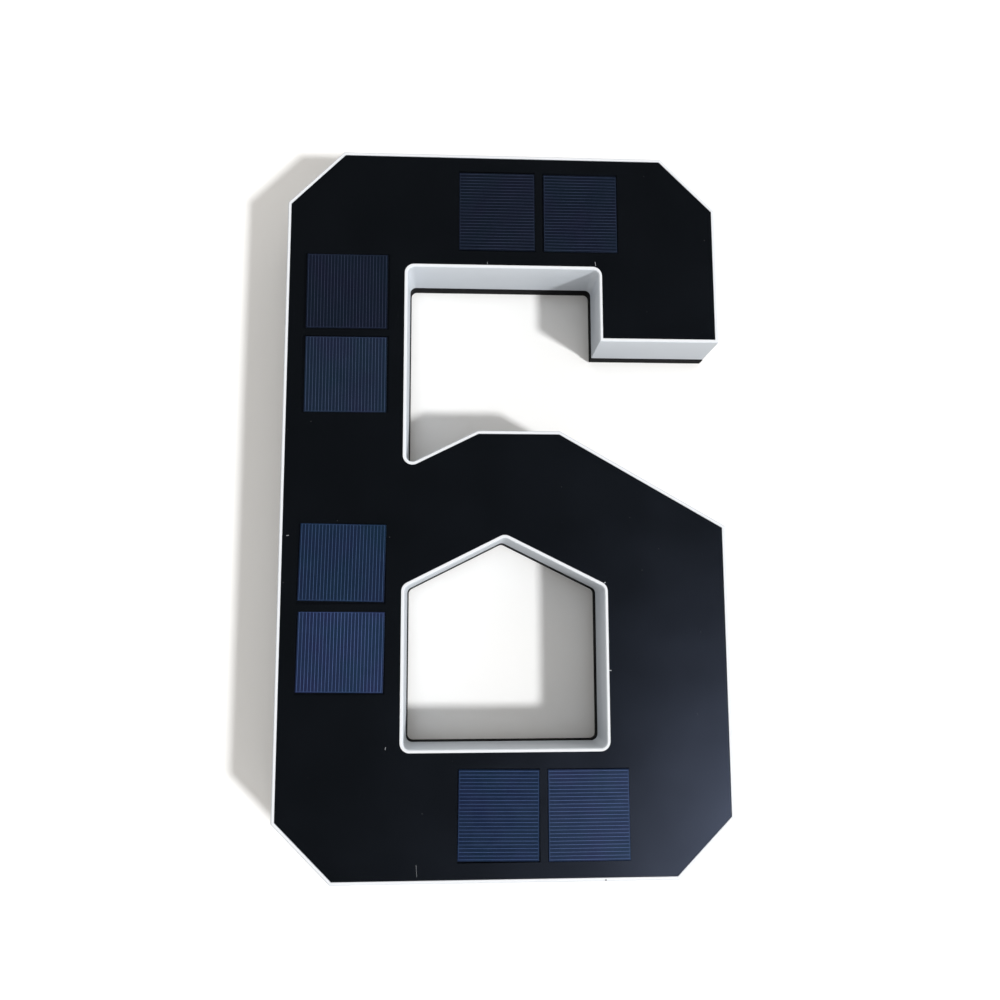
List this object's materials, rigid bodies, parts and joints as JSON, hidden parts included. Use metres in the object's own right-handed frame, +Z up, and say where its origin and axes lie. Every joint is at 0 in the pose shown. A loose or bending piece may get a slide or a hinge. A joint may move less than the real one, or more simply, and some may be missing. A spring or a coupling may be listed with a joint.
{
  "type": "house number sign",
  "caption": "Wall-hung house number, a solar-charged figure six with a black face, white light-diffusing side walls, back cover and push button.",
  "frame": {"origin": "centre of the figure's back, in the wall plane", "axes": "+X to the right seen from the front, +Y into the wall, +Z up the figure"},
  "size_m": [0.1854, 0.031, 0.305],
  "materials": {
    "white_diffuser": "translucent white light-diffusing plastic, fine matt",
    "black_cover": "black moulded plastic, fine grain",
    "black_face": "satin black face plate",
    "solar_cell": "navy silicon with fine fingers under satin resin",
    "bonding_film": "double-sided bonding film",
    "tinned_wire": "tinned copper",
    "lead_insulation": "soft wire insulation",
    "led_body": "LED package with yellow phosphor",
    "circuit_board": "solder-masked circuit board",
    "steel_screws": "stainless steel",
    "black_component": "black moulded component",
    "white_component": "nylon connector",
    "aluminium_can": "aluminium can",
    "black_button": "black moulded button",
    "rubber_seal": "silicone rubber seal",
    "battery_sleeve": "shrink-wrapped cell",
    "spring_contact": "nickel-plated spring steel"
  },
  "bodies": {
    "root": {"housing_shell": "white_diffuser", "back_cover": "black_cover", "face_panel": "black_face", "panel_adhesive": "bonding_film", "cell_pins": "tinned_wire", "panel_bus_outer": "tinned_wire", "panel_bus_inner": "tinned_wire", "panel_leads": "lead_insulation", "led_packages": "led_body", "led_jumpers": "lead_insulation", "led_leads": "lead_insulation", "control_board": "circuit_board", "board_screws": "steel_screws", "controller_chip": "black_component", "inductor": "black_component", "capacitors": "aluminium_can", "board_connectors": "white_component", "switch_body": "black_component", "button_seal": "rubber_seal", "battery_cell": "battery_sleeve", "battery_holder": "black_component", "holder_screws": "steel_screws", "battery_contacts": "spring_contact", "battery_leads": "lead_insulation", "cover_gasket_outer": "rubber_seal", "cover_gasket_inner": "rubber_seal", "cover_screws": "steel_screws", "solar_cell_top_left": "solar_cell", "solar_cell_top_right": "solar_cell", "solar_cell_stem_upper_1": "solar_cell", "solar_cell_stem_upper_2": "solar_cell", "solar_cell_stem_lower_1": "solar_cell", "solar_cell_stem_lower_2": "solar_cell", "solar_cell_base_left": "solar_cell", "solar_cell_base_right": "solar_cell", "led_strip_stem": "circuit_board", "led_strip_top": "circuit_board", "led_strip_arm": "circuit_board", "led_strip_bridge": "circuit_board", "led_strip_bowl": "circuit_board", "led_strip_base": "circuit_board"},
    "button": {"button_cap": "black_button", "switch_plunger": "black_component"}
  },
  "joints": [
    {"name": "button_press", "type": "slide", "parent": "root", "child": "button", "axis": [0, -1, 0], "range_m": [0, 0.0012], "stiffness_N_per_m": 600, "springref_m": -0.0012}
  ]
}
